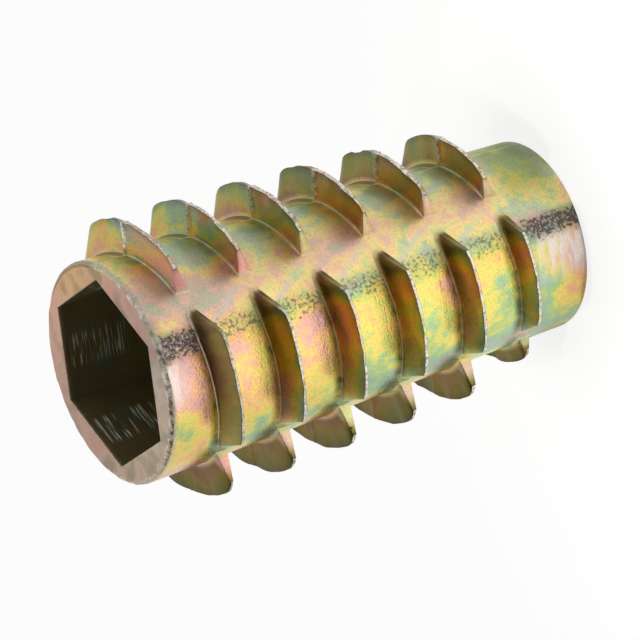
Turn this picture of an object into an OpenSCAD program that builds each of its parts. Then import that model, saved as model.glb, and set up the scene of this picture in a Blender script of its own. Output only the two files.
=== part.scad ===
// Hex-drive threaded insert: a tapered die-cast sleeve with an interrupted wood thread outside,
// a hexagon socket in the head and a machine thread through the rest.
// The sleeve stands on its entering end, +Z runs to the head, and X is the way the two die halves open.

/* [Sleeve] */
// Overall length of the sleeve
length = 24.1; // [20:0.1:30]
// Diameter of the sleeve at the head
head_d = 10.85; // [10.6:0.05:11.8]
// Diameter of the sleeve at the entering end
tip_d = 9.25; // [9:0.05:10.2]
// Radius of the rounded edge at the entering end
tip_round = 0.2; // [0.1:0.05:0.5]
// Radius of the broken edge around the head
head_round = 0.1; // [0.05:0.05:0.3]

/* [Drive socket] */
// Width of the key that turns the insert
key_af = 8; // [7:0.5:8]
// Clearance between the key and the socket, over both flats
key_clearance = 0.05; // [0.02:0.01:0.15]
// Depth of the socket
socket_depth = 7; // [5:0.5:9]

/* [Machine thread] */
// Minor diameter of the machine thread
bore_d = 6.7; // [6:0.1:7]
// Depth of the countersink at the entering end
mouth_depth = 0.35; // [0.1:0.05:0.4]
// Depth of the countersink where the socket meets the bore
lead_in = 0.6; // [0.2:0.1:0.6]

/* [Wood thread] */
// Lead of the wood thread
pitch = 3.5; // [3:0.1:4]
// Distance from the head to the crest of the first tooth
first_tooth = 1.95; // [1.6:0.05:2.6]
// Least plain length left between the last crest and the entering end
pilot = 2.5; // [2:0.1:5]
// Diameter over the crests, carried on to the head
crest_d = 14.3; // [13.4:0.1:15]
// Loss of crest diameter for each millimetre along the thread
crest_taper = 0.09; // [0:0.01:0.12]
// Height that the last tooth has lost
runout = 0.62; // [0:0.02:0.8]
// Width of the land on each crest
crest_w = 0.25; // [0.15:0.05:0.4]
// Width of each tooth where it leaves the sleeve
root_w = 0.68; // [0.5:0.02:1]
// Tilt of the teeth that face the die pull
face_tilt = 4; // [2:0.5:6]
// Tilt of each half of the teeth on the parting plane
side_tilt = 2.5; // [0:0.5:4]
// How far the root of a face tooth lies from its crest, towards the head
face_shift = 0.09; // [-0.2:0.01:0.2]
// How far the root of a side tooth lies from its crest, towards the tip
side_shift = 0.23; // [-0.1:0.01:0.3]

/* [Hidden] */
$fn = 96;
eps = 0.01;

// Half the angle that a face tooth covers at its root and at its crest
face_root = 41;
face_crest = 25.5;
// Half the angle that a side tooth covers on its leading side, root then crest
lead_root = 39.5;
lead_crest = 36;
// Half the angle that a side tooth covers on its trailing side, root then crest
trail_root = 42.5;
trail_crest = 26;

socket_af = key_af + key_clearance;
socket_d = socket_af / cos(30);
socket_floor = length - socket_depth;
bore_r = bore_d / 2;
tooth_sink = 0.45;
span_reach = 0.6;
quarter = pitch / 4;
last_tooth = first_tooth + quarter * floor((length - pilot - first_tooth) / quarter);
arc_steps = 6;

function sleeve_r(z) = (tip_d + (head_d - tip_d) * z / length) / 2;
function crest_r(z) = crest_d / 2 - crest_taper * (length - z) / 2;
function polar(r, a) = [r * cos(a), r * sin(a)];

// Points of a quarter round between two angles about a centre
function arc(c, r, from, to) = [for (i = [0:arc_steps])
    c + polar(r, from + (to - from) * i / arc_steps)];

// Heights of the crests of one row, counted from the head; the rows lie a quarter pitch apart
function row_crests(row) = [for (a = first_tooth + row * quarter; a <= last_tooth + eps; a = a + pitch)
    length - a];

// Crest radius of a tooth; the last two teeth of the helix run out towards the sleeve
function tooth_r(z) = crest_r(z) - runout * max(0, 1 - (last_tooth - length + z) / (2 * quarter));

// Point on the line from root to crest, at 0 on the root and 1 on the crest
function along(root, crest, t) = root + t * (crest - root);

// Ring with the section of one tooth, its crest at height 0 and its root shifted along the axis.
// The flanks run straight on into the sleeve.
module tooth_ring(r_root, r_crest, shift) {
    low = [[r_root, shift - root_w / 2], [r_crest, -crest_w / 2]];
    high = [[r_root, shift + root_w / 2], [r_crest, crest_w / 2]];
    sunk = -tooth_sink / (r_crest - r_root);
    rotate_extrude()
        polygon([along(low[0], low[1], sunk), low[1], high[1], along(high[0], high[1], sunk)]);
}

// Prism that holds the stretch of a ring between two end faces, each given as root and crest angle
module tooth_span(r_root, r_crest, from, to) {
    start = [polar(r_root, from[0]), polar(r_crest, from[1])];
    finish = [polar(r_root, to[0]), polar(r_crest, to[1])];
    linear_extrude(height = 2 * pitch, center = true)
        polygon([
            along(start[0], start[1], -span_reach),
            along(start[0], start[1], 1 + span_reach),
            along(finish[0], finish[1], 1 + span_reach),
            along(finish[0], finish[1], -span_reach)
        ]);
}

module tooth_part(z, shift, tilt, from, to) {
    translate([0, 0, z])
        intersection() {
            rotate([tilt, 0, 0]) tooth_ring(sleeve_r(z), tooth_r(z), shift);
            tooth_span(sleeve_r(z), tooth_r(z), from, to);
        }
}

// Tooth in the middle of a die half, with end faces nearly along the pull
module face_tooth(z) {
    tooth_part(z, face_shift, face_tilt, [-face_root, -face_crest], [face_root, face_crest]);
}

// Tooth across the parting plane, bent there because each die half tilts its own half
module side_tooth(z) {
    tooth_part(z, -side_shift, side_tilt, [-lead_root, -lead_crest], [0, 0]);
    tooth_part(z, -side_shift, -side_tilt, [0, 0], [trail_root, trail_crest]);
}

module wood_thread() {
    for (z = row_crests(0)) rotate([0, 0, 90]) side_tooth(z);
    for (z = row_crests(1)) face_tooth(z);
    for (z = row_crests(2)) rotate([0, 0, 270]) side_tooth(z);
    for (z = row_crests(3)) rotate([0, 0, 180]) face_tooth(z);
}

module sleeve() {
    rotate_extrude()
        polygon(concat(
            [[0, 0]],
            arc([tip_d / 2 - tip_round, tip_round], tip_round, -90, 0),
            arc([head_d / 2 - head_round, length - head_round], head_round, 0, 90),
            [[0, length]]
        ));
}

// Hexagon socket with corners on the parting plane
module drive_socket() {
    translate([0, 0, socket_floor])
        rotate([0, 0, 30]) cylinder(h = socket_depth + eps, d = socket_d, $fn = 6);
}

// Bore at the minor diameter of the machine thread, countersunk at both ends
module bore() {
    rotate_extrude()
        polygon([
            [0, -eps],
            [bore_r + mouth_depth + eps, -eps],
            [bore_r, mouth_depth],
            [bore_r, socket_floor - lead_in],
            [bore_r + lead_in + eps, socket_floor + eps],
            [0, socket_floor + eps]
        ]);
}

module insert() {
    color([0.62, 0.55, 0.35])
        difference() {
            union() {
                sleeve();
                wood_thread();
            }
            drive_socket();
            bore();
        }
}

insert();
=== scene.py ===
import math
from functools import partial

import bmesh
import bpy
from mathutils import Matrix, Vector, noise


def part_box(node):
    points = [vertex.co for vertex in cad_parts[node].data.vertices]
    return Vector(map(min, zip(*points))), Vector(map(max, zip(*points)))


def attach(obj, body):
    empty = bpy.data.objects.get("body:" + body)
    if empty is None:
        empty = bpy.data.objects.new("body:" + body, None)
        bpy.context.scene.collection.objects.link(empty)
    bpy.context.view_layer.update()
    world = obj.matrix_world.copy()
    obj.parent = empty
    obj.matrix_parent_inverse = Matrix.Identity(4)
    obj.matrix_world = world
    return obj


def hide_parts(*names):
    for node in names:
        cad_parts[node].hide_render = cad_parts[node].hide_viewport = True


mm = 0.001

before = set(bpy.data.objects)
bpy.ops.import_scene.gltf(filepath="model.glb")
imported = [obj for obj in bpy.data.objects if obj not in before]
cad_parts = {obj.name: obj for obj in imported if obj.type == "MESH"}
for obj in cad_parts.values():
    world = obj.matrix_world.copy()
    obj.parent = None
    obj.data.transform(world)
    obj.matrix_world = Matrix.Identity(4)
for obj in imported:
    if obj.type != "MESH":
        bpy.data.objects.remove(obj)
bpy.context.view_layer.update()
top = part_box("insert")[1].z / mm  # shapes are worked out in millimetres from the tip face, and scaled once
print("frame loaded, insert", round(top, 2), "mm long")

sleeveValues = {
    "headRadius": 5.425,
    "tipRadius": 4.625,
    "headChamfer": 0.18,
    "rimUneven": 0.07,  # the rim of the head is a little ragged
    "tipRound": 0.2,
    "pitch": 3.5,
    "rowsPerPitch": 5,  # one of the five rows of faces carries the teeth
    "rows": 42,  # from beyond the head to beyond the tip, and both ends are then cut off
    "spareRows": 5,  # of them beyond the head
    "spinRadius": 5,  # of the first rough wall, before each point goes to its place on the sleeve
    "partingBead": 0.03,  # line left where the two die halves meet
    "smoothBelow": 38,  # degrees; edges that bend more stay sharp
}

# Columns of the wall from the start of one face tooth, as angle and number of steps, for half a turn
columnSteps = [(82, 24), (9.5, 3), (38.8, 14), (1.2, 1), (1.2, 1), (39.8, 14), (7.5, 2)]
firstColumn = -41.5

# Angles of a tooth are counted from its middle, anticlockwise seen from the head, so its negative end leads
# when the insert is driven in. Pairs and triples run from the leading to the trailing end.
toothValues = {
    "rootAtParting": 1.774,  # distance from the head to the near root of the first tooth, at 90 degrees
    "faceBulge": 0.21,  # how far the roots of the face teeth bow towards the head
    "bulgeReach": 46,  # degrees to both sides of their middle
    "crestRadius": 7.0,  # at the head face
    "crestTaper": (0.018, 0.0012),  # loss of it for each mm from the head, and for each square mm
    "face": {
        "root": (-41.5, 40.5),
        "crest": (-25, 24.5),
        "near": (0.289, 0.131, -0.033),  # near edge of the crest at its start, middle and end
        "width": (0.2, 0.16, 0.2),
        "endLoss": (0.1, 0.08),  # how much the crest drops at its two ends
        "uneven": 0.05,
        "endNarrow": 0.17,  # how much the foot of the trailing end is drawn in on each side
    },
    "side": {
        "root": (-40, 41),
        "crest": (-36, 32),
        "near": (0.126, 0.036, 0.216),
        "width": (0.21, 0.28, 0.15),
        "endLoss": (0.12, 0.36),
        "uneven": 0.1,
        "endNarrow": 0.04,
    },
    # ridge is the flash across a tooth where the die halves meet; longer is degrees added to the trailing end
    "rows": [
        {"middle": 90, "kind": "side", "first": 0, "end": 6, "taller": 0, "ridge": 0.08, "longer": 3},
        {"middle": 0, "kind": "face", "first": 0, "end": 6, "taller": 0, "ridge": 0, "longer": 0},
        {"middle": 270, "kind": "side", "first": 1, "end": 7, "taller": 0.12, "ridge": 0.02, "longer": 0},
        {"middle": 180, "kind": "face", "first": 1, "end": 6, "taller": 0, "ridge": 0, "longer": 0},
    ],
    "unevenLength": 0.7,  # length of the unevenness of the crests, mm
    "unevenHeight": 0.6,  # its height as a share of its width
    "unevenMiddle": 0.2,  # raises the level that counts as even, so that crests lose more than they gain
    "tallerRun": 15,  # degrees from the parting line in which taller teeth reach their height
    "endShare": 0.7,  # share of the half tooth after which the crest drops
    "flankRows": 4,
    "runOut": {(0, 5): 0.31, (270, 6): 0.62},  # height that the last two teeth of the helix have lost
    "nick": {"tooth": (90, 4), "shares": (0.36, 0.62), "depth": 0.1},  # one chipped crest
    "cornerRound": 0.07,
    "rootFillet": 0.13,
    "sharpCorner": 0.9,  # end corners sharper than this are rounded, radians
    "shortCorner": 0.15,  # and shorter ones are left, mm
    "ledge": 0.36,  # how far the roots of the upper side teeth reach out behind the parting line
    "ledgeRun": 16,  # degrees over which they come to it, and over which they go back
    "ledgeEnd": 36,
}


def sleeveRadius(z):
    v = sleeveValues
    return v["tipRadius"] + (v["headRadius"] - v["tipRadius"]) * z / top


def crestRadius(fromHead):
    steady, growing = toothValues["crestTaper"]
    return toothValues["crestRadius"] - steady * fromHead - growing * fromHead ** 2


# Distance from the head to the near root of the first tooth
def rootLine(angle):
    return toothValues["rootAtParting"] + sleeveValues["pitch"] * (90 - angle) / 360


# Degrees from one angle to another, between -180 and 180
def turned(angle, middle):
    return (angle - middle + 180) % 360 - 180


def bulge(angle):
    nearest = min((turned(angle, 0), turned(angle, 180)), key=abs)
    return -toothValues["faceBulge"] * max(0, 1 - (nearest / toothValues["bulgeReach"]) ** 4)


def polar(radius, angle, z):
    return Vector((radius * math.cos(math.radians(angle)), radius * math.sin(math.radians(angle)), z))


def angleOf(point):
    return math.degrees(math.atan2(point.y, point.x))


# The wall is spun along the helix, so that its rows of faces run with the teeth
def spinWall(bm):
    v = sleeveValues
    rowHeight = v["pitch"] / v["rowsPerPitch"]
    start = top - rootLine(firstColumn)
    heights = [start - rowHeight * (row - v["spareRows"]) for row in range(v["rows"])]
    line = [bm.verts.new(polar(v["spinRadius"], firstColumn, height)) for height in heights]
    geom = line + [bm.edges.new(pair) for pair in zip(line, line[1:])]
    for angle, steps in columnSteps * 2:
        climb = v["pitch"] * angle / 360 / steps
        geom = bmesh.ops.spin(bm, geom=geom, cent=(0, 0, 0), axis=(0, 0, 1), angle=math.radians(angle),
                              steps=steps, dvec=(0, 0, climb), use_merge=False)["geom_last"]
    bmesh.ops.remove_doubles(bm, verts=bm.verts[:], dist=0.001)
    for vert in bm.verts:
        angle = angleOf(vert.co)
        z = vert.co.z - bulge(angle)
        bead = v["partingBead"] if abs(abs(angle) - 90) < 0.1 else 0
        vert.co = polar(sleeveRadius(z) + bead, angle, z)
    for height, outward in ((top - v["headChamfer"], 1), (v["tipRound"], -1)):
        bmesh.ops.bisect_plane(bm, geom=bm.verts[:] + bm.edges[:] + bm.faces[:], dist=0.001,
                               plane_co=(0, 0, height), plane_no=(0, 0, outward), clear_outer=True)


# Value at a share between -1 at the leading end and 1 at the trailing end
def threeWay(values, share):
    low, middle, high = values
    return middle + share * (high - middle) if share > 0 else middle - share * (low - middle)


# Turns of the helix from the root of the row's first tooth down to a point
def turnsDown(point, middle):
    angle = middle + turned(angleOf(point), middle)
    return (top - point.z - rootLine(angle) - bulge(angle)) / sleeveValues["pitch"]


def crestPoint(point, row, number):
    t = toothValues
    middle, shape = row["middle"], t[row["kind"]]
    away = turned(angleOf(point), middle)
    far = turnsDown(point, middle) - number > 0.1
    share = away / shape["root"][1] if away > 0 else -away / shape["root"][0]
    reach = shape["crest"][1] + row["longer"] if share > 0 else -shape["crest"][0]
    fromHead = rootLine(middle) + number * sleeveValues["pitch"] + threeWay(shape["near"], share)
    if far:
        fromHead += threeWay(shape["width"], share)
    spot = point / t["unevenLength"]
    fromHead += shape["uneven"] * noise.noise(spot)
    radius = crestRadius(fromHead)
    radius += shape["uneven"] * t["unevenHeight"] * (noise.noise(spot.yzx) - t["unevenMiddle"])
    radius += row["taller"] * min(1, abs(away) / t["tallerRun"])
    intoEnd = max(0, abs(share) - t["endShare"]) / (1 - t["endShare"])
    radius -= shape["endLoss"][share > 0] * intoEnd ** 3
    if abs(away) < 0.1:
        fromHead += row["ridge"] * (0.5 if far else -1)
        radius += row["ridge"] / 2
    radius -= t["runOut"].get((middle, number), 0)
    nick = t["nick"]
    if (middle, number) == nick["tooth"] and nick["shares"][0] < share < nick["shares"][1]:
        radius -= nick["depth"]
    return polar(radius, middle + share * reach, top - fromHead)


def raiseTeeth(bm):
    t = toothValues
    part = bm.faces.layers.int.new("part")  # 0 wall, 1 side of a tooth, 2 crest land, 3 and 4 rounded corners
    groups = {}
    for face in bm.faces:
        centre = face.calc_center_median()
        for index, row in enumerate(t["rows"]):
            low, high = t[row["kind"]]["root"]
            turns = turnsDown(centre, row["middle"])
            number = math.floor(turns)
            inRow = low < turned(angleOf(centre), row["middle"]) < high
            if inRow and row["first"] <= number < row["end"] and turns - number < 0.2:
                groups.setdefault((index, number), []).append(face)
    for (index, number), faces in sorted(groups.items()):
        row = t["rows"][index]
        shape = t[row["kind"]]
        for vert in {v for face in faces for v in face.verts}:
            away = turned(angleOf(vert.co), row["middle"])
            far = turnsDown(vert.co, row["middle"]) - number > 0.1
            if abs(away) < 0.1:
                vert.co.z += row["ridge"] * (-0.5 if far else 1)
            elif away > shape["root"][1] - 0.1:
                vert.co.z += shape["endNarrow"] * (1 if far else -1)
        made = bmesh.ops.extrude_face_region(bm, geom=faces)["geom"]
        bmesh.ops.delete(bm, geom=faces, context="FACES")
        for face in {f for vert in made if isinstance(vert, bmesh.types.BMVert) for f in vert.link_faces}:
            face[part] = 1
        for face in (f for f in made if isinstance(f, bmesh.types.BMFace)):
            face[part] = 2
        crest = [g for g in made if isinstance(g, bmesh.types.BMVert)]
        for vert in crest:
            vert.co = crestPoint(vert.co, row, number)
        uprights = [e for vert in crest for e in vert.link_edges if e.other_vert(vert) not in crest]
        bmesh.ops.subdivide_edges(bm, edges=uprights, cuts=t["flankRows"] - 1, use_grid_fill=True)
    return part


def roundTeeth(bm, part):
    t = toothValues

    def bevel(edges, size, segments):
        made = bmesh.ops.bevel(bm, geom=edges, offset=size, offset_type="OFFSET", affect="EDGES",
                               segments=segments, profile=0.5, material=-1, clamp_overlap=True)
        return made["faces"]

    roots = [e for e in bm.edges if len({min(f[part], 1) for f in e.link_faces}) == 2]
    fillet = bevel(roots, t["rootFillet"], 3)
    ledge = bm.verts.layers.float.new("ledge")  # only the upper side teeth have one
    for vert in {v for face in fillet for v in face.verts}:
        away = turned(angleOf(vert.co), 90)
        raised = vert.co.xy.length - sleeveRadius(vert.co.z)
        if raised < 0.1 and 0.1 < away < t["ledgeEnd"] and turnsDown(vert.co, 90) % 1 > 0.8:
            left = (t["ledgeEnd"] - away) / t["ledgeRun"]
            vert[ledge] = min(1, 1.5 * left)
            if raised < 0.03:
                vert.co.z += t["ledge"] * min(1, away / t["ledgeRun"], left)
    rims = [e for e in bm.edges if {f[part] for f in e.link_faces} == {1, 2}]
    for face in bevel(rims, t["cornerRound"], 3):
        face[part] = 3
    upright = [e for e in bm.edges if e.is_manifold and all(f[part] == 1 for f in e.link_faces)
               and e.calc_face_angle() > t["sharpCorner"] and e.calc_length() > t["shortCorner"]]
    for face in bevel(upright, t["cornerRound"], 3):
        face[part] = 4


def openLoop(bm, height):
    return [e for e in bm.edges if e.is_boundary and all(abs(v.co.z - height) < 0.005 for v in e.verts)]


# Walls grow ring by ring: the radius is a number, or a function of the angle
def addRing(bm, edges, radius, z):
    made = bmesh.ops.extrude_edge_only(bm, edges=edges)["geom"]
    for vert in (g for g in made if isinstance(g, bmesh.types.BMVert)):
        size = radius(angleOf(vert.co)) if callable(radius) else radius
        vert.co = polar(size, angleOf(vert.co), z)
    return [g for g in made if isinstance(g, bmesh.types.BMEdge)]


socketValues = {
    "flats": 8.05,
    "depth": 7.0,
    "rim": 0.06,  # broken edge round the opening
    "columnsPerFlat": 16,
    "boreRadius": 3.35,
    "leadIn": 0.6,  # countersink under the socket
    "mouth": 0.35,  # countersink at the tip
    "tapPitch": 1.25,
    "tapForm": (0.75, 0.625),  # how wide the groove is, and how wide each of its slopes, in half pitches
    "tapRadius": 4.07,  # a little more than half the flats, so the tap grazed the middle of each flat
    "rowsPerThread": 10,
}


def hexRadius(angle, grow=0.0):
    return (socketValues["flats"] / 2 + grow) / math.cos(math.radians((angle + 30) % 60 - 30))


def tapRadius(angle, z):
    v = socketValues
    phase = (z / v["tapPitch"] - angle / 360) % 1
    width, slope = v["tapForm"]
    share = min(1, max(0, (width - abs(2 * phase - 1)) / slope))
    return v["boreRadius"] + (v["tapRadius"] - v["boreRadius"]) * share


def sinkShaft(bm, edges, radius, z):
    v = socketValues
    start = edges[0].verts[0].co.z
    made = addRing(bm, edges, radius, z)
    bottom = dict.fromkeys(vert for e in made for vert in e.verts)
    uprights = [e for vert in bottom for e in vert.link_edges if e not in made]
    rows = round((start - z) / v["tapPitch"] * v["rowsPerThread"])
    bmesh.ops.subdivide_edges(bm, edges=uprights, cuts=rows - 1, use_grid_fill=True)
    return openLoop(bm, z)


def cutSocket(bm):
    v = socketValues
    corner = (v["flats"] / 2 + v["rim"]) / math.cos(math.pi / 6)
    ring = bmesh.ops.create_circle(bm, segments=6, radius=corner,
                                   matrix=Matrix.Translation((0, 0, top)))["verts"]
    edges = list(dict.fromkeys(e for vert in ring for e in vert.link_edges))
    made = bmesh.ops.subdivide_edges(bm, edges=edges, cuts=v["columnsPerFlat"] - 1)
    hexLoop = [g for g in made["geom"] if isinstance(g, bmesh.types.BMEdge)]
    rim = addRing(bm, hexLoop, lambda a: hexRadius(a, 0.3 * v["rim"]), top - 0.3 * v["rim"])
    rim = addRing(bm, rim, hexRadius, top - v["rim"])
    rim = sinkShaft(bm, rim, hexRadius, top - v["depth"])
    rim = addRing(bm, rim, v["boreRadius"] + v["leadIn"], top - v["depth"] - 0.001)
    rim = addRing(bm, rim, v["boreRadius"], top - v["depth"] - v["leadIn"])
    rim = sinkShaft(bm, rim, v["boreRadius"], v["mouth"])
    rim = addRing(bm, rim, v["boreRadius"] + v["mouth"] - 0.02, 0.02)
    rim = addRing(bm, rim, v["boreRadius"] + v["mouth"] + 0.02, 0)
    rim = addRing(bm, rim, v["boreRadius"] + v["mouth"] + 0.1, 0)
    for vert in bm.verts:
        if vert.co.xy.length < 4.8 and 0.2 < vert.co.z < top - 0.3:
            angle = angleOf(vert.co)
            vert.co = polar(max(vert.co.xy.length, tapRadius(angle, vert.co.z)), angle, vert.co.z)
    # A narrow flat border round the opening keeps the head's shading level
    hexLoop = addRing(bm, hexLoop, lambda a: hexRadius(a, v["rim"] + 0.04), top)
    return hexLoop, rim


# How strongly edges are marked: wear has to be above 1 where the rubbing is unbroken
markValues = {
    "innerStart": 0.2,
    "innerRise": 4,  # for each mm below the head face
    "socketEdge": 0.6,
    # the seam values paint a pale highlight along the seam
    "seam": 1.8,
    "besideSeam": 0.6,
    "headRim": 0.7,
    "crest": 1,
    "edgeShadeCorner": 1,
    "edgeShadeBelow": 0.3,  # where the rounded corner meets the side of the tooth
    "endCorner": 0.9,
    "endCornerTurn": (23, 30),  # degrees from the middle of a face tooth
    "endCornerRadius": 6.5,
}


def markFinish(bm, part):
    v, m = sleeveValues, markValues
    endStart, endStop = m["endCornerTurn"]
    # Rubbed edges, plus a painted highlight along the seam across the upper teeth
    wearAndGlint = bm.verts.layers.float.new("wearAndGlint")  # bright rubbed edges
    # Painted dark reflection in the rounded corners beside the crests
    edgeShade = bm.verts.layers.float.new("edgeShade")  # dark line beside them
    inner = bm.verts.layers.float.new("inner")  # socket and bore
    for vert in bm.verts:
        angle, radius, depth = angleOf(vert.co), vert.co.xy.length, top - vert.co.z
        wall = sleeveRadius(vert.co.z)
        if radius < min(hexRadius(angle) + 0.1, wall - 0.3):
            if depth > 0.05 and vert.co.z > 0.02:
                vert[inner] = min(1, m["innerStart"] + m["innerRise"] * (depth - 0.05))
            elif depth > 0.01:
                vert[wearAndGlint] = m["socketEdge"]
        # Painted highlight along the seam across the upper teeth, in the rubbed colour
        elif abs(angle - 90) < 1.5 and radius > wall + 0.2:
            vert[wearAndGlint] = m["seam"] if abs(angle - 90) < 0.2 else m["besideSeam"]
        elif depth < v["headChamfer"] + 0.01 and radius > wall - v["headChamfer"] - 0.03:
            vert[wearAndGlint] = m["headRim"]
        parts = {face[part] for face in vert.link_faces}
        if 2 in parts:
            vert[wearAndGlint] = m["crest"]
        elif 3 in parts:
            vert[edgeShade] = m["edgeShadeBelow"] if 1 in parts else m["edgeShadeCorner"]
        if radius > m["endCornerRadius"] and endStart < angle % 180 < endStop and parts & {3, 4}:
            vert[wearAndGlint] = m["endCorner"]
            vert[edgeShade] = 0


def buildInsert():
    v = sleeveValues
    bm = bmesh.new()
    spinWall(bm)
    part = raiseTeeth(bm)
    print("teeth raised,", len(bm.faces), "faces")
    roundTeeth(bm, part)
    head = openLoop(bm, top - v["headChamfer"])
    radius = sleeveRadius(top)
    for inward, down in ((0.2, 0.6), (0.6, 0.2), (1.0, 0.0)):
        size = radius - inward * v["headChamfer"]
        head = addRing(bm, head, lambda a: size + v["rimUneven"] * noise.noise(polar(12, a, inward)),
                       top - down * v["headChamfer"])
    head = addRing(bm, head, radius - v["headChamfer"] - 0.12, top)
    tip = openLoop(bm, v["tipRound"])
    radius = v["tipRadius"]
    for inward, up in ((0.08, 0.62), (0.3, 0.3), (0.62, 0.08), (1.0, 0.0)):
        tip = addRing(bm, tip, radius - inward * v["tipRound"], up * v["tipRound"])
    tip = addRing(bm, tip, radius - v["tipRound"] - 0.06, 0)
    hexLoop, mouth = cutSocket(bm)
    bmesh.ops.bridge_loops(bm, edges=head + hexLoop)
    bmesh.ops.bridge_loops(bm, edges=tip + mouth)
    bmesh.ops.triangulate(bm, faces=[f for f in bm.faces if len(f.verts) > 4])
    bmesh.ops.recalc_face_normals(bm, faces=bm.faces[:])
    markFinish(bm, part)
    for edge in bm.edges:
        edge.smooth = len(edge.link_faces) == 2 and edge.calc_face_angle() < math.radians(v["smoothBelow"])
    for face in bm.faces:
        face.smooth = True
    print("open edges", sum(not e.is_manifold for e in bm.edges))
    print("volume", round(bm.calc_volume(signed=True), 1), "mm3")
    bmesh.ops.scale(bm, vec=(mm, mm, mm), verts=bm.verts[:])
    mesh = bpy.data.meshes.new("insertCasting")
    bm.to_mesh(mesh)
    bm.free()
    piece = bpy.data.objects.new("insertCasting", mesh)
    bpy.context.scene.collection.objects.link(piece)
    normals = piece.modifiers.new("weighted", "WEIGHTED_NORMAL")
    normals.keep_sharp = True
    normals.weight = 50
    return piece


def linear(hexColour):
    channels = [int(hexColour[i:i + 2], 16) / 255 for i in (1, 3, 5)]
    return tuple(c / 12.92 if c < 0.04045 else ((c + 0.055) / 1.055) ** 2.4 for c in channels) + (1,)


def addNode(tree, kind, inputs=None, output=None, stops=None, **settings):
    node = tree.nodes.new("ShaderNode" + kind)
    for name, value in settings.items():
        setattr(node, name, value)
    for name, value in (inputs or {}).items():
        if isinstance(value, bpy.types.NodeSocket):
            tree.links.new(value, node.inputs[name])
        else:
            node.inputs[name].default_value = value
    for number, (position, colour) in enumerate(stops or []):
        elements = node.color_ramp.elements
        last = number == len(stops) - 1
        element = elements[0] if number == 0 else elements[-1] if last else elements.new(position)
        element.position = position
        element.color = linear(colour) if isinstance(colour, str) else (colour, colour, colour, 1)
    return node.outputs[output] if output else next((s for s in node.outputs if s.enabled), None)


def newMaterial(name):
    material = bpy.data.materials.new(name)
    material.use_nodes = True
    material.node_tree.nodes.clear()
    return material, partial(addNode, material.node_tree)


# Film thickness is counted in orders of interference: each whole order runs once through the film colours.
# Lists that go round the sleeve start with degrees, 0 at the front teeth and 90 at the upper ones, and lists
# that go along it with millimetres above the tip. A share from 0 to 1 or a colour follows.
filmValues = {
    "patch": 2.9,  # size of the colour patches, mm
    "patchGain": 1.2,
    "mottle": 0.6,  # size of the mottling in them, mm
    "mottleGain": 0.6,
    "filmColours": [
        (0.00, "#aeb69e"), (0.10, "#a0c2a6"), (0.22, "#b8ce8a"), (0.34, "#e2da76"), (0.45, "#f8d676"),
        (0.56, "#f6c188"), (0.67, "#efb5a2"), (0.78, "#d8b0a8"), (0.90, "#c0b39e"), (1.00, "#aeb69e"),
    ],
    # darker, browner copy of the film colours, painted shade on the flanks
    "shadedFilmColours": [
        (0.00, "#b0b48a"), (0.22, "#bcbc6c"), (0.45, "#d8be6c"), (0.67, "#d0a472"), (0.85, "#b89e74"),
        (1.00, "#b0b48a"),
    ],
    # orders by angle: the film pooled by the way the part hung in the bath
    "pooling": [
        (-180, 1.45), (-150, 1.4), (-110, 1.4), (-80, 1.45), (-56, 1.4), (-46, 1.15), (-34, 1.28), (-20, 1.4),
        (-4, 1.45), (6, 1.55), (15, 1.6), (22, 1.4), (29, 1.32), (36, 1.5), (46, 1.62), (56, 1.5), (66, 1.3),
        (78, 1.12), (92, 1.25), (110, 1.35), (135, 1.4), (160, 1.5), (180, 1.45),
    ],
    # orders by height: lengthLevel leaves the film as it is, and less makes it thinner
    "lengthDrift": [
        (0.0, 0.3), (0.7, 0.2), (1.6, 0.0), (3.3, 0.0), (4.4, 0.3), (21, 0.3), (22, 0.55), (23, 0.42),
    ],
    "lengthLevel": 0.3,
    "standingDrift": -0.3,  # orders for each mm above the sleeve
    "flankDrift": 0.27,  # orders on the flanks
    "flankRise": [(0.05, 0.0), (0.3, 1.0)],  # mm above the sleeve over which the sleeve turns into a flank
    # Upper side of the sleeve, painted paler as painted light; there the film is also more mottled and less
    # of a mirror
    "paleUpperSide": [(20, 0.0), (28, 0.4), (50, 0.5), (68, 0.5), (78, 0.25), (150, 0.2), (160, 0.0)],
    "upperSheenColour": "#f8e8c8",
    "upperSheenShare": 0.7,
    "upperMottleGain": 1.1,
}

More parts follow.
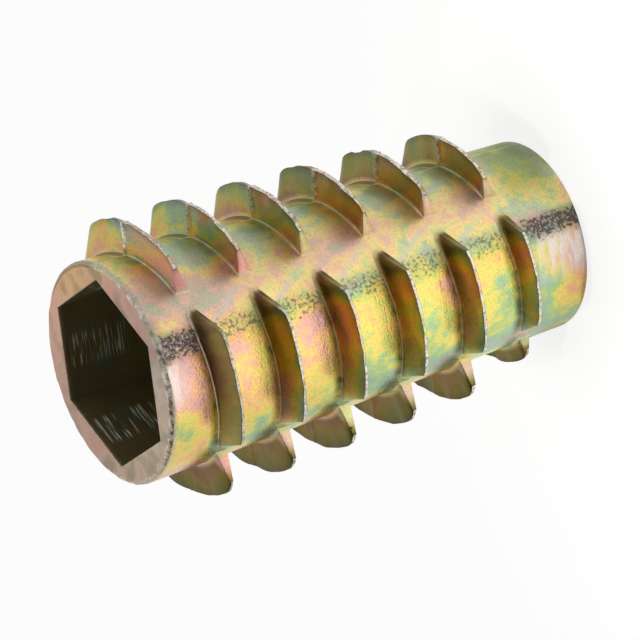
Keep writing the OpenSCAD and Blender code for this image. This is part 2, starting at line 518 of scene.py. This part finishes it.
flankValues = {
    "upperTeeth": [(45, 0.0), (50, 1.0), (150, 1.0), (160, 0.0)],
    "towardsHead": [(12, 0.0), (18, 0.8), (22, 1.0)],
    "faceTeeth": [(-46, 0.0), (-42, 0.8), (41, 0.8), (45, 0.0)],
    "beyondFirst": [(19.4, 1.0), (20.6, 0.0)],
    # painted shade: one darkening tint for each row and, on the upper teeth, one for each side of the parting
    # line at 90
    "rowShade": [
        (-138, "#ffffff"), (-132, "#b4a68a"), (-52, "#b4a68a"), (-46, "#ffffff"), (46, "#ffffff"),
        (52, "#fcd8d0"), (89, "#fcd8d0"), (91, "#c8d0d0"), (132, "#c8d0d0"), (138, "#ffffff"),
    ],
    # painted shade on the first front tooth, painted light on the first upper tooth
    "firstHeight": [(19.5, 0.0), (20.5, 1.0)],
    "firstTeeth": [(-46, 0.0), (-42, 0.25), (41, 0.25), (45, 0.0), (56, 0.65), (80, 0.6), (91, 0.0)],
    "firstToothShading": [(41, "#b88a5c"), (50, "#f8b088"), (70, "#f4b488")],
    "trailingEnd": [(23, 0.0), (26, 0.75), (40, 0.75), (43, 0.0)],
    "trailingColour": "#8a7458",
    "steepEnd": [
        (-57, 0.0), (-54, 0.7), (-49.5, 0.7), (-48.5, 0.0), (48.5, 0.0), (49.5, 0.9), (54, 0.9), (55, 0.0),
    ],
    "steepTone": [(5, "#eedcb4"), (9, "#f4ccc0"), (14, "#e8f0ac"), (18, "#ffc6c0"), (22, "#ffbab6")],
    # painted shade low on the flanks of the front teeth
    "rootShadeRise": [(0.1, 0.0), (0.2, 0.8), (0.45, 0.7), (0.9, 0.0)],  # mm above the sleeve
    "rootShadeTurn": [(-10, 0.0), (12, 1.0), (38, 1.0), (41, 0.0)],
    "rootShadeColour": "#989472",
    # painted highlight in the rounded roots of the teeth
    "rootHighlightRise": [(0.012, 0.0), (0.025, 1.0), (0.06, 1.0), (0.085, 0.0)],  # mm above the sleeve
    "rootHighlightSpread": [(0.35, 0.3), (0.5, 0.9)],  # broken up by the mottling
    "rootHighlightColour": "#f0e2bc",
    # painted shade and highlight on the ledge
    "ledgeReach": [(0.42, 0.0), (0.5, 0.9)],
    "ledgeShading": [(0.72, "#f0e4bc"), (0.8, "#868058"), (1.0, "#948e62")],
}

sleeveMarkValues = {
    "plainHeight": [(0.2, 0.0), (1.0, 0.8), (2.6, 0.8), (3.6, 0.0)],
    "plainTurn": [(38, 0.0), (55, 1.0), (115, 1.0), (135, 0.0)],
    "plainColour": "#c4cf98",
    "grain": 0.1,  # grit of the blasted die, mm, drawn a little coarser than real so that it shows
    "flecks": [(0.28, 0.78), (0.46, 0.94), (0.62, 1.0)],
    # Painted shade on the head side of the teeth, where the sleeve mirrors their flanks; cornerHelix starts
    # with the share of a turn down from the teeth
    "cornerTurn": [(-44, 0.0), (-36, 1.0), (18, 1.0), (30, 0.0), (60, 0.0), (70, 0.5), (88, 0.5), (92, 0.0)],
    "cornerHeight": [(3.6, 0.0), (3.9, 1.0)],
    "cornerHelix": [(0.8, 0.0), (0.9, 1.0)],
    "cornerShade": [(0.35, "#8a7c50"), (0.65, "#c8b890")],
    "flowSlope": -15.0,  # pitches that the flow mark moves along the axis for one turn round it
    "flowStart": 8.83,
    "flowWidth": [(0.22, 0.0), (0.32, 0.7), (0.36, 0.7), (0.46, 0.0)],
    "flowTurn": [(28, 0.0), (31, 1.0), (44, 1.0), (47, 0.0)],
    "flowHeight": [(3.6, 0.0), (3.9, 1.0), (21.0, 1.0), (21.6, 0.0)],
    "flowSpread": [(0.36, 0.3), (0.56, 1.0)],
    "flowColour": "#d0ccc0",
    # painted highlight at both ends of the front of the sleeve
    "frontHighlightTurn": [(-12, 0.0), (2, 0.9), (18, 0.9), (24, 0.0)],
    "frontHighlightHeight": [(2.0, 1.0), (3.4, 0.0), (22.9, 0.0), (23.6, 0.7)],
    "frontHighlightStreak": (0.7, 0.7, 2.6),  # streaks to the mm across, across and along
    "frontHighlightSpread": [(0.42, 0.25), (0.56, 1.0)],
    "frontHighlightColour": "#fff0ea",
    # painted reflection of a dark strip: a darker, speckled streak along one line of the sleeve
    "darkStreakTurn": [(15, 0.0), (20, 0.8), (26, 1.0), (30, 0.8), (34, 0.0)],
    "darkStreakHeight": [(2.4, 0.92), (3.8, 0.62), (21.2, 0.62), (22.2, 0.92)],
    "darkStreakTone": [(2.4, "#c4b4b6"), (4.2, "#e8e2d0"), (20.8, "#e8e2d0"), (22.2, "#c8bcc0")],
    "darkStreakHeadEnd": [(21.2, 0.0), (22.2, 0.7)],
    "darkStreakHeadColour": "#a08c92",
    "speck": 0.16,  # size of the specks, mm
    "darkSpeckGain": 0.42,  # how many more dark specks lie along the painted dark streak
    "darkSpecks": [(0.72, 0.0), (0.84, 0.85)],
    "darkSpeckTone": [(2.6, "#4a4246"), (4.5, "#6e7658"), (20.5, "#6e7658"), (22, "#40363a")],
    "paleSpeckGain": 0.3,
    "paleSpecks": [(0.8, 0.0), (0.88, 0.3)],
    "paleSpeckColour": "#f4f0dc",
}

headValues = {
    "cloud": 1.5,  # size of the clouds in its tone, mm
    "tone": [
        (-180, "#f2c8b2"), (-155, "#e3bcab"), (-98, "#e2c4b0"), (-22, "#eed8c2"), (17, "#c8b6a8"),
        (67, "#eac0b0"), (117, "#ffd49c"), (150, "#ffd0b6"), (180, "#f2c8b2"),
    ],
    "clouds": [(0.36, "#d8dcd4"), (0.5, "#ffffff"), (0.64, "#fff0f4")],
    "fleckShare": 0.8,
}

wearValues = {
    # painted dark reflection beside the crests
    "edgeShadeColour": "#30261a",
    "rubMark": 0.3,  # size of the rubbed spots, mm
    "rubGain": 0.2,  # how much more is rubbed where wear is 1
    "rubbed": [(0.58, 0.0), (0.68, 1.0)],
    "exposed": [(91, 1.0), (96, 0.1), (140, 0.1), (150, 1.0)],  # upper teeth are dull past the parting line
    "brightTone": [(0.44, "#f6eee2"), (0.54, "#dcd2ca"), (0.66, "#aca29a")],
    "dullColour": "#5c5636",
    "rimDepth": [(0.0, 1.0), (0.2, 0.8), (0.35, 0.0)],  # mm below the head face
    "rimShare": 0.6,
    "rimColour": "#c6c0b2",
    "pits": [(0.55, 0.0), (0.65, 0.6)],
    "pitColour": "#a09a8e",
}

socketToneValues = {
    "grazeStreak": (0.5, 0.5, 13.0),  # streaks to the mm across, across and along
    "grazed": [(0.56, 0.0), (0.6, 1.0)],
    "flatMiddle": [(0.14, 1.0), (0.22, 0.0)],  # a flat runs from 0 in its middle to 0.5 in its corners
    "grazeDepth": [(0.3, 0.0), (0.5, 1.0), (3.1, 1.0), (3.6, 0.0)],  # mm below the head face
    "rampLength": 10,  # mm, since a colour ramp only runs from 0 to 1
    "grazeTurn": [(-152, 0.7), (-148, 1.0), (148, 1.0), (152, 0.7)],
    # pale lines painted as highlights on the tap's graze marks
    "grazeHighlightColour": "#fffff4",
    # painted shade: the socket and bore are darker than the film
    "tone": [(0.35, "#94906a"), (0.5, "#98865c"), (0.65, "#869078")],
}

shineValues = {
    "roughness": 0.2,
    "cloudGain": 0.12,
    # what each mask adds to the roughness, and what it takes from the metallic share
    "duller": {"paleUpperSide": 0.35, "flank": 0.06, "first": 0.45, "inner": 0.3, "grazed": 0.2, "onHead": 0.15,
               "bright": 0.2, "rootHighlight": 0.3},
    "lessMetal": {"rootHighlight": 0.7, "bright": 0.5, "paleUpperSide": 0.35, "first": 0.5, "grazed": 0.8, "frontHighlight": 0.3,
                  "inner": 0.3},
    "dent": 0.45,  # size of the dents in the casting, mm
    "dentGain": 0.6,
    "bumpHeight": 0.014,  # mm
}


def around(pairs):
    return [(0.5 + angle / 360, share) for angle, share in pairs]


def along(pairs):
    return [(height / top, share) for height, share in pairs]


def chromateZinc():
    s = sleeveValues
    material, add = newMaterial("yellowChromateOnDieCastZinc")
    place = add("TexCoord", output="Object")
    place = add("VectorMath", {0: place, "Scale": 1 / mm}, operation="SCALE")
    turn = add("TexGradient", {"Vector": place}, output="Fac", gradient_type="RADIAL")  # 0.5 at 0 degrees
    height = add("VectorMath", {0: place, 1: (0, 0, 1)}, operation="DOT_PRODUCT")
    share = add("Math", {0: height, 1: top}, operation="DIVIDE")
    radius = add("VectorMath", {0: place, 1: (1, 1, 0)}, operation="MULTIPLY")
    radius = add("VectorMath", {0: radius}, operation="LENGTH")
    slope = (s["headRadius"] - s["tipRadius"]) / top
    standing = add("Math", {0: height, 1: -slope, 2: radius}, operation="MULTIPLY_ADD")
    standing = add("Math", {0: standing, 1: s["tipRadius"]}, operation="SUBTRACT")  # height above the sleeve
    v = filmValues
    flank = add("ValToRGB", {0: standing}, stops=v["flankRise"])
    sleeve = add("Math", {0: 1.0, 1: flank}, operation="SUBTRACT")

    # The chromate film's thickness drifts over the casting, and its interference colour with it
    paleUpperSide = add("ValToRGB", {0: turn}, stops=around(v["paleUpperSide"]))
    paleUpperSide = add("Math", {0: paleUpperSide, 1: sleeve}, operation="MULTIPLY")
    pooling = add("ValToRGB", {0: turn}, stops=around(v["pooling"]))
    lengthDrift = add("ValToRGB", {0: share}, stops=along(v["lengthDrift"]))
    patches = add("TexNoise", {"Vector": place, "Scale": 1 / v["patch"], "Detail": 1.0, "Distortion": 0.4},
                  output="Fac")
    mottle = add("TexNoise", {"Vector": place, "Scale": 1 / v["mottle"], "Detail": 4.0}, output="Fac")
    film = add("Math", {0: patches, 1: v["patchGain"], 2: pooling}, operation="MULTIPLY_ADD")
    film = add("Math", {0: mottle, 1: v["mottleGain"], 2: film}, operation="MULTIPLY_ADD")
    lively = add("Math", {0: mottle, 1: 0.5}, operation="SUBTRACT")
    lively = add("Math", {0: lively, 1: paleUpperSide}, operation="MULTIPLY")
    film = add("Math", {0: lively, 1: v["upperMottleGain"], 2: film}, operation="MULTIPLY_ADD")
    film = add("Math", {0: film, 1: lengthDrift}, operation="ADD")
    middleLevel = (v["patchGain"] + v["mottleGain"]) / 2 + v["lengthLevel"]
    film = add("Math", {0: film, 1: middleLevel}, operation="SUBTRACT")
    film = add("Math", {0: flank, 1: v["flankDrift"], 2: film}, operation="MULTIPLY_ADD")
    raised = add("Math", {0: standing, 1: flank}, operation="MULTIPLY")
    film = add("Math", {0: raised, 1: v["standingDrift"], 2: film}, operation="MULTIPLY_ADD")
    order = add("Math", {0: film}, operation="FRACT")
    colour = add("ValToRGB", {0: order}, stops=v["filmColours"])
    shadedFilm = add("ValToRGB", {0: order}, stops=v["shadedFilmColours"])

    # Painted shade: the flanks take a darker, browner copy of the film colours. The upper teeth near the head
    # and the front ones beyond the first are partly spared.
    f = flankValues
    upperTeeth = add("ValToRGB", {0: turn}, stops=around(f["upperTeeth"]))
    towardsHead = add("ValToRGB", {0: share}, stops=along(f["towardsHead"]))
    faceTeeth = add("ValToRGB", {0: turn}, stops=around(f["faceTeeth"]))
    beyondFirst = add("ValToRGB", {0: share}, stops=along(f["beyondFirst"]))
    faceTeeth = add("Math", {0: faceTeeth, 1: beyondFirst}, operation="MULTIPLY")
    lessShaded = add("Math", {0: upperTeeth, 1: towardsHead, 2: faceTeeth}, operation="MULTIPLY_ADD")
    shadedFilm = add("Mix", {0: lessShaded, 6: shadedFilm, 7: colour}, data_type="RGBA")
    colour = add("Mix", {0: flank, 6: colour, 7: shadedFilm}, data_type="RGBA")

    # Painted light: a pale veil lightens the upper part of the sleeve
    upperSheen = add("Math", {0: paleUpperSide, 1: v["upperSheenShare"]}, operation="MULTIPLY")
    colour = add("Mix", {0: upperSheen, 6: colour, 7: linear(v["upperSheenColour"])}, data_type="RGBA")

    # Painted shade: each row of teeth darkens its flanks with a tint of its own. The first tooth of a row
    # carries painted shade on the front row and painted light on the upper row
    rowShade = add("ValToRGB", {0: turn}, stops=around(f["rowShade"]))
    rowShadeShare = add("Math", {0: flank, 1: lessShaded}, operation="SUBTRACT", use_clamp=True)
    colour = add("Mix", {0: rowShadeShare, 6: colour, 7: rowShade}, data_type="RGBA", blend_type="MULTIPLY")
    first = add("ValToRGB", {0: share}, stops=along(f["firstHeight"]))
    firstTeeth = add("ValToRGB", {0: turn}, stops=around(f["firstTeeth"]))
    firstToothShading = add("ValToRGB", {0: turn}, stops=around(f["firstToothShading"]))
    first = add("Math", {0: first, 1: firstTeeth}, operation="MULTIPLY")
    first = add("Math", {0: first, 1: flank}, operation="MULTIPLY")
    colour = add("Mix", {0: first, 6: colour, 7: firstToothShading}, data_type="RGBA")

    # The trailing ends of the face teeth are brown, the steep ends of the side teeth pale
    trailingEnd = add("ValToRGB", {0: turn}, stops=around(f["trailingEnd"]))
    trailingEnd = add("Math", {0: trailingEnd, 1: flank}, operation="MULTIPLY")
    colour = add("Mix", {0: trailingEnd, 6: colour, 7: linear(f["trailingColour"])}, data_type="RGBA")
    steepEnd = add("ValToRGB", {0: turn}, stops=around(f["steepEnd"]))
    steepEnd = add("Math", {0: steepEnd, 1: flank}, operation="MULTIPLY")
    steepTone = add("ValToRGB", {0: share}, stops=along(f["steepTone"]))
    colour = add("Mix", {0: steepEnd, 6: colour, 7: steepTone}, data_type="RGBA")

    # The plain sleeve above the tip is an even olive on its upper side
    m = sleeveMarkValues
    plainEnd = add("ValToRGB", {0: share}, stops=along(m["plainHeight"]))
    plainTurn = add("ValToRGB", {0: turn}, stops=around(m["plainTurn"]))
    plainEnd = add("Math", {0: plainEnd, 1: plainTurn}, operation="MULTIPLY")
    colour = add("Mix", {0: plainEnd, 6: colour, 7: linear(m["plainColour"])}, data_type="RGBA",
                 blend_type="MULTIPLY")

    # Fine dark flecks from the grit of the die
    grain = add("TexNoise", {"Vector": place, "Scale": 1 / m["grain"], "Detail": 2.0}, output="Fac")
    flecks = add("ValToRGB", {0: grain}, stops=m["flecks"])
    colour = add("Mix", {0: 1.0, 6: colour, 7: flecks}, data_type="RGBA", blend_type="MULTIPLY")

    # Painted shade along the helix, in the corner on the head side of the teeth, where the sleeve mirrors
    # their dark flanks
    lead = top - toothValues["rootAtParting"] - 0.75 * s["pitch"]
    helix = add("Math", {0: turn, 1: s["pitch"], 2: lead}, operation="MULTIPLY_ADD")
    helix = add("Math", {0: helix, 1: height}, operation="SUBTRACT")
    helix = add("Math", {0: helix, 1: 1 / s["pitch"]}, operation="MULTIPLY")
    helix = add("Math", {0: helix}, operation="FRACT")
    cornerTurn = add("ValToRGB", {0: turn}, stops=around(m["cornerTurn"]))
    cornerHeight = add("ValToRGB", {0: share}, stops=along(m["cornerHeight"]))
    corner = add("ValToRGB", {0: helix}, stops=m["cornerHelix"])
    corner = add("Math", {0: corner, 1: cornerTurn}, operation="MULTIPLY")
    corner = add("Math", {0: corner, 1: sleeve}, operation="MULTIPLY")
    corner = add("Math", {0: corner, 1: cornerHeight}, operation="MULTIPLY")
    cornerShade = add("ValToRGB", {0: mottle}, stops=m["cornerShade"])
    colour = add("Mix", {0: corner, 6: colour, 7: cornerShade}, data_type="RGBA", blend_type="MULTIPLY")

    # From the trailing end of each face tooth a pale flow mark runs on to the foot of the next side tooth
    flow = add("Math", {0: turn, 1: m["flowSlope"], 2: m["flowStart"]}, operation="MULTIPLY_ADD")
    flow = add("Math", {0: flow, 1: helix}, operation="ADD")
    flow = add("ValToRGB", {0: flow}, stops=m["flowWidth"])
    flowTurn = add("ValToRGB", {0: turn}, stops=around(m["flowTurn"]))
    flowHeight = add("ValToRGB", {0: share}, stops=along(m["flowHeight"]))
    flowSpread = add("ValToRGB", {0: mottle}, stops=m["flowSpread"])
    for mask in (flowTurn, sleeve, flowHeight, flowSpread):
        flow = add("Math", {0: flow, 1: mask}, operation="MULTIPLY")
    colour = add("Mix", {0: flow, 6: colour, 7: linear(m["flowColour"])}, data_type="RGBA")

    # Painted highlight: the front of the sleeve is lightened in pale streaks at both ends
    frontHighlight = add("ValToRGB", {0: turn}, stops=around(m["frontHighlightTurn"]))
    atEnds = add("ValToRGB", {0: share}, stops=along(m["frontHighlightHeight"]))
    frontHighlight = add("Math", {0: frontHighlight, 1: atEnds}, operation="MULTIPLY")
    streaks = add("VectorMath", {0: place, 1: m["frontHighlightStreak"]}, operation="MULTIPLY")
    streaks = add("TexNoise", {"Vector": streaks, "Scale": 1.0, "Detail": 3.0}, output="Fac")
    streaks = add("ValToRGB", {0: streaks}, stops=m["frontHighlightSpread"])
    frontHighlight = add("Math", {0: frontHighlight, 1: streaks}, operation="MULTIPLY")
    colour = add("Mix", {0: frontHighlight, 6: colour, 7: linear(m["frontHighlightColour"])}, data_type="RGBA")

    # Painted reflection of a dark strip: a darker, speckled streak along one line of the sleeve, strongest at
    # its two ends
    darkStreakLine = add("ValToRGB", {0: turn}, stops=around(m["darkStreakTurn"]))
    toEnds = add("ValToRGB", {0: share}, stops=along(m["darkStreakHeight"]))
    speck = add("TexNoise", {"Vector": place, "Scale": 1 / m["speck"], "Detail": 3.0}, output="Fac")
    darkStreak = add("Math", {0: darkStreakLine, 1: toEnds}, operation="MULTIPLY")
    darkStreak = add("Math", {0: darkStreak, 1: sleeve}, operation="MULTIPLY")
    darkStreakTone = add("ValToRGB", {0: share}, stops=along(m["darkStreakTone"]))
    darkStreakTone = add("Mix", {0: darkStreak, 6: (1, 1, 1, 1), 7: darkStreakTone}, data_type="RGBA")
    colour = add("Mix", {0: 1.0, 6: colour, 7: darkStreakTone}, data_type="RGBA", blend_type="MULTIPLY")
    headEnd = add("ValToRGB", {0: share}, stops=along(m["darkStreakHeadEnd"]))
    headEnd = add("Math", {0: darkStreak, 1: headEnd}, operation="MULTIPLY")
    colour = add("Mix", {0: headEnd, 6: colour, 7: linear(m["darkStreakHeadColour"])}, data_type="RGBA")
    darkSpecks = add("Math", {0: darkStreak, 1: m["darkSpeckGain"], 2: speck}, operation="MULTIPLY_ADD")
    darkSpecks = add("ValToRGB", {0: darkSpecks}, stops=m["darkSpecks"])
    darkSpeckTone = add("ValToRGB", {0: share}, stops=along(m["darkSpeckTone"]))
    colour = add("Mix", {0: darkSpecks, 6: colour, 7: darkSpeckTone}, data_type="RGBA")
    paleSpecks = add("Math", {0: darkStreak, 1: m["paleSpeckGain"], 2: grain}, operation="MULTIPLY_ADD")
    paleSpecks = add("ValToRGB", {0: paleSpecks}, stops=m["paleSpecks"])
    colour = add("Mix", {0: paleSpecks, 6: colour, 7: linear(m["paleSpeckColour"])}, data_type="RGBA")

    # Painted highlight: a thin pale line in the rounded roots of the teeth
    rootHighlight = add("ValToRGB", {0: standing}, stops=f["rootHighlightRise"])
    rootHighlightSpread = add("ValToRGB", {0: mottle}, stops=f["rootHighlightSpread"])
    rootHighlight = add("Math", {0: rootHighlight, 1: rootHighlightSpread}, operation="MULTIPLY")
    colour = add("Mix", {0: rootHighlight, 6: colour, 7: linear(f["rootHighlightColour"])}, data_type="RGBA")

    # Painted shade: the flanks are darker low down on the trailing half of the front teeth
    rootShade = add("ValToRGB", {0: standing}, stops=f["rootShadeRise"])
    rootShadeTurn = add("ValToRGB", {0: turn}, stops=around(f["rootShadeTurn"]))
    rootShade = add("Math", {0: rootShade, 1: rootShadeTurn}, operation="MULTIPLY")
    colour = add("Mix", {0: rootShade, 6: colour, 7: linear(f["rootShadeColour"])}, data_type="RGBA",
                 blend_type="MULTIPLY")

    # Painted shade and highlight on the ledge behind the upper side teeth: an olive band with a pale outer
    # edge
    ledge = add("Attribute", output="Fac", attribute_name="ledge")
    ledgeShading = add("ValToRGB", {0: ledge}, stops=f["ledgeShading"])
    ledge = add("ValToRGB", {0: ledge}, stops=f["ledgeReach"])
    colour = add("Mix", {0: ledge, 6: colour, 7: ledgeShading}, data_type="RGBA")

    # The head face is a dull, cloudy, pinkish tan
    h = headValues
    onHead = add("Math", {0: height, 1: top - 0.01}, operation="GREATER_THAN")
    cloud = add("TexNoise", {"Vector": place, "Scale": 1 / h["cloud"], "Detail": 2.0}, output="Fac")
    headTone = add("ValToRGB", {0: turn}, stops=around(h["tone"]))
    clouds = add("ValToRGB", {0: cloud}, stops=h["clouds"])
    headTone = add("Mix", {0: 1.0, 6: headTone, 7: clouds}, data_type="RGBA", blend_type="MULTIPLY")
    headTone = add("Mix", {0: h["fleckShare"], 6: headTone, 7: flecks}, data_type="RGBA",
                   blend_type="MULTIPLY")
    colour = add("Mix", {0: onHead, 6: colour, 7: headTone}, data_type="RGBA")

    # Crests and rims are rubbed through to silvery zinc, beside a painted dark reflection line; the seam
    # across the upper teeth takes the same pale colour as a painted highlight
    w = wearValues
    edgeShade = add("Attribute", output="Fac", attribute_name="edgeShade")
    colour = add("Mix", {0: edgeShade, 6: colour, 7: linear(w["edgeShadeColour"])}, data_type="RGBA")
    wearAndGlint = add("Attribute", output="Fac", attribute_name="wearAndGlint")
    rubbed = add("TexNoise", {"Vector": place, "Scale": 1 / w["rubMark"], "Detail": 3.0}, output="Fac")
    rubbed = add("Math", {0: wearAndGlint, 1: w["rubGain"], 2: rubbed}, operation="MULTIPLY_ADD")
    rubbed = add("ValToRGB", {0: rubbed}, stops=w["rubbed"])
    exposed = add("ValToRGB", {0: turn}, stops=around(w["exposed"]))
    brightTone = add("ValToRGB", {0: speck}, stops=w["brightTone"])
    bright = add("Math", {0: wearAndGlint, 1: rubbed}, operation="MULTIPLY")
    bright = add("Math", {0: bright, 1: exposed}, operation="MULTIPLY")
    colour = add("Mix", {0: bright, 6: colour, 7: brightTone}, data_type="RGBA")
    dull = add("Math", {0: exposed, 1: -1.0, 2: 1.0}, operation="MULTIPLY_ADD")
    dull = add("Math", {0: dull, 1: wearAndGlint}, operation="MULTIPLY")
    colour = add("Mix", {0: dull, 6: colour, 7: linear(w["dullColour"])}, data_type="RGBA")
    depth = add("Math", {0: top, 1: height}, operation="SUBTRACT")
    onRim = add("ValToRGB", {0: depth}, stops=w["rimDepth"])
    onRim = add("Math", {0: onRim, 1: onHead}, operation="SUBTRACT")
    silvery = add("Math", {0: onRim, 1: w["rimShare"]}, operation="MULTIPLY", use_clamp=True)
    colour = add("Mix", {0: silvery, 6: colour, 7: linear(w["rimColour"])}, data_type="RGBA")
    pits = add("ValToRGB", {0: speck}, stops=w["pits"])
    pits = add("Math", {0: pits, 1: onRim}, operation="MULTIPLY", use_clamp=True)
    colour = add("Mix", {0: pits, 6: colour, 7: linear(w["pitColour"])}, data_type="RGBA")

    # Socket and bore are dull and painted darker as shade, with pale lines painted as highlights on the marks
    # where the tap grazed the middle of each flat
    t = socketToneValues
    inner = add("Attribute", output="Fac", attribute_name="inner")
    grazed = add("VectorMath", {0: place, 1: t["grazeStreak"]}, operation="MULTIPLY")
    grazed = add("TexNoise", {"Vector": grazed, "Scale": 1.0, "Detail": 1.0}, output="Fac")
    grazed = add("ValToRGB", {0: grazed}, stops=t["grazed"])
    flat = add("Math", {0: turn, 1: 6.0}, operation="MULTIPLY")
    flat = add("Math", {0: flat, 1: 0.5}, operation="PINGPONG")
    flatMiddle = add("ValToRGB", {0: flat}, stops=t["flatMiddle"])
    grazeDepth = add("Math", {0: depth, 1: t["rampLength"]}, operation="DIVIDE")
    grazeStops = [(down / t["rampLength"], level) for down, level in t["grazeDepth"]]
    grazeDepth = add("ValToRGB", {0: grazeDepth}, stops=grazeStops)
    flatMiddle = add("Math", {0: flatMiddle, 1: grazeDepth}, operation="MULTIPLY")
    grazeTurn = add("ValToRGB", {0: turn}, stops=around(t["grazeTurn"]))
    for mask in (flatMiddle, grazeTurn, inner):
        grazed = add("Math", {0: grazed, 1: mask}, operation="MULTIPLY")
    socketShading = add("ValToRGB", {0: patches}, stops=t["tone"])
    socketShading = add("Mix", {0: grazed, 6: socketShading, 7: linear(t["grazeHighlightColour"])}, data_type="RGBA")
    colour = add("Mix", {0: inner, 6: colour, 7: socketShading}, data_type="RGBA")

    # Dull and rubbed places, and those painted with highlights, mirror less than the film over sound metal
    g = shineValues
    masks = {"paleUpperSide": paleUpperSide, "flank": flank, "first": first, "inner": inner, "grazed": grazed,
             "onHead": onHead, "bright": bright, "rootHighlight": rootHighlight, "frontHighlight": frontHighlight}
    roughness = add("Math", {0: cloud, 1: g["cloudGain"], 2: g["roughness"]}, operation="MULTIPLY_ADD")
    for name, gain in g["duller"].items():
        roughness = add("Math", {0: masks[name], 1: gain, 2: roughness}, operation="MULTIPLY_ADD")
    metallic = 1.0
    for name, loss in g["lessMetal"].items():
        metallic = add("Math", {0: masks[name], 1: -loss, 2: metallic}, operation="MULTIPLY_ADD",
                       use_clamp=True)
    dents = add("TexNoise", {"Vector": place, "Scale": 1 / g["dent"], "Detail": 2.0}, output="Fac")
    surface = add("Math", {0: dents, 1: g["dentGain"], 2: grain}, operation="MULTIPLY_ADD")
    bump = add("Bump", {"Height": surface, "Distance": g["bumpHeight"] * mm, "Strength": 1.0})
    shader = add("BsdfPrincipled", {"Base Color": colour, "Metallic": metallic, "Roughness": roughness,
                                    "Normal": bump})
    add("OutputMaterial", {"Surface": shader})
    return material


# The camera sees the paper almost pure white, with a trace of the shadow, and the metal mirrors it darker
floorValues = {
    "colour": "#f4f4f2",
    "seenWhite": 0.85,
    "mirroredWhite": 0.26,
}


def studioFloor():
    v = floorValues
    material, add = newMaterial("paleStudioFloor")
    glossy = add("LightPath", output="Is Glossy Ray")
    passing = add("LightPath", output="Is Transmission Ray")
    mirrored = add("Math", {0: glossy, 1: passing}, operation="MAXIMUM")
    mirrored = add("Math", {0: mirrored, 1: v["mirroredWhite"]}, operation="MULTIPLY")
    seen = add("LightPath", output="Is Camera Ray")
    white = add("Math", {0: seen, 1: v["seenWhite"], 2: mirrored}, operation="MULTIPLY_ADD")
    paper = add("BsdfDiffuse", {"Color": linear(v["colour"])})
    glow = add("Emission", {"Color": (1, 1, 1, 1), "Strength": 1.0})
    add("OutputMaterial", {"Surface": add("MixShader", {0: white, 1: paper, 2: glow})})
    return material


# Lengths in millimetres, angles in degrees
cameraValues = {
    "aim": (0.0748, -0.7496, 12.4467),
    "azimuth": 22.5,
    "elevation": 28.76,
    "distance": 327.5,
    "roll": -108.39,
    "lens": 389.9,
}


def addCamera():
    v = cameraValues
    camera = bpy.data.cameras.new("camera")
    camera.lens = v["lens"]
    camera.sensor_width = 36
    item = bpy.data.objects.new("camera", camera)
    bpy.context.scene.collection.objects.link(item)
    back = Vector((math.cos(math.radians(v["elevation"])), 0, math.sin(math.radians(v["elevation"]))))
    back.rotate(Matrix.Rotation(math.radians(v["azimuth"]), 3, "Z"))
    turn = back.to_track_quat("Z", "Y").to_matrix().to_4x4()
    roll = Matrix.Rotation(math.radians(v["roll"]), 4, "Z")
    item.matrix_world = Matrix.Translation((Vector(v["aim"]) + back * v["distance"]) * mm) @ turn @ roll
    bpy.context.scene.camera = item


# The metal mirrors the paper and the room, and the lamps are left out of its reflections.
# Places, aims and sizes in millimetres, powers in watts, the cone in degrees
lampValues = {
    "overheadSoftbox": {"place": (-30, -10, 400), "aim": (0, 0, 12), "size": 120, "power": 0.9},
    "tableSpot": {
        "place": (95, 10, 330), "aim": (33, 3, 0), "size": 12, "power": 4.0, "cone": 13.5, "blend": 0.8,
    },
}


def addLamps():
    for name, v in lampValues.items():
        light = bpy.data.lights.new(name, "SPOT" if "cone" in v else "AREA")
        light.energy = v["power"]
        if "cone" in v:
            light.spot_size = math.radians(v["cone"])
            light.spot_blend = v["blend"]
            light.shadow_soft_size = v["size"] * mm
        else:
            light.shape = "DISK"
            light.size = v["size"] * mm
        item = bpy.data.objects.new(name, light)
        bpy.context.scene.collection.objects.link(item)
        place, aim = Vector(v["place"]) * mm, Vector(v["aim"]) * mm
        turn = (place - aim).to_track_quat("Z", "Y").to_matrix().to_4x4()
        item.matrix_world = Matrix.Translation(place) @ turn
        item.visible_camera = False
        item.visible_glossy = False


roomValues = {
    "litSide": (-0.99, 0.13, 0),  # the direction of the bright wall
    "levels": [(0.0, "#585858"), (0.35, "#5c5c5c"), (0.5, "#929292"), (0.62, "#c8c8c6"), (1.0, "#cececc")],
}


def addWorld():
    world = bpy.data.worlds.new("studioRoom")
    bpy.context.scene.world = world
    world.use_nodes = True
    world.node_tree.nodes.clear()
    add = partial(addNode, world.node_tree)
    direction = add("TexCoord", output="Generated")
    facing = add("VectorMath", {0: direction, 1: roomValues["litSide"]}, operation="DOT_PRODUCT")
    facing = add("Math", {0: facing, 1: 0.5, 2: 0.5}, operation="MULTIPLY_ADD")
    level = add("ValToRGB", {0: facing}, stops=roomValues["levels"])
    room = add("Background", {"Color": level, "Strength": 1.0})
    white = add("Background", {"Color": (1, 1, 1, 1), "Strength": 1.0})
    seen = add("LightPath", output="Is Camera Ray")
    add("OutputWorld", {"Surface": add("MixShader", {0: seen, 1: room, 2: white})})


def addFloor():
    bm = bmesh.new()
    bmesh.ops.create_grid(bm, x_segments=2, y_segments=2, size=3)
    mesh = bpy.data.meshes.new("floor")
    bm.to_mesh(mesh)
    bm.free()
    floor = bpy.data.objects.new("floor", mesh)
    bpy.context.scene.collection.objects.link(floor)
    floor.data.materials.append(studioFloor())


insert = buildInsert()
insert.data.materials.append(chromateZinc())
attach(insert, "root")
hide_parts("insert")
print("insert built,", len(insert.data.polygons), "faces")

addFloor()
addWorld()
addLamps()
addCamera()
bpy.context.scene.view_settings.view_transform = "Standard"
print("studio ready")
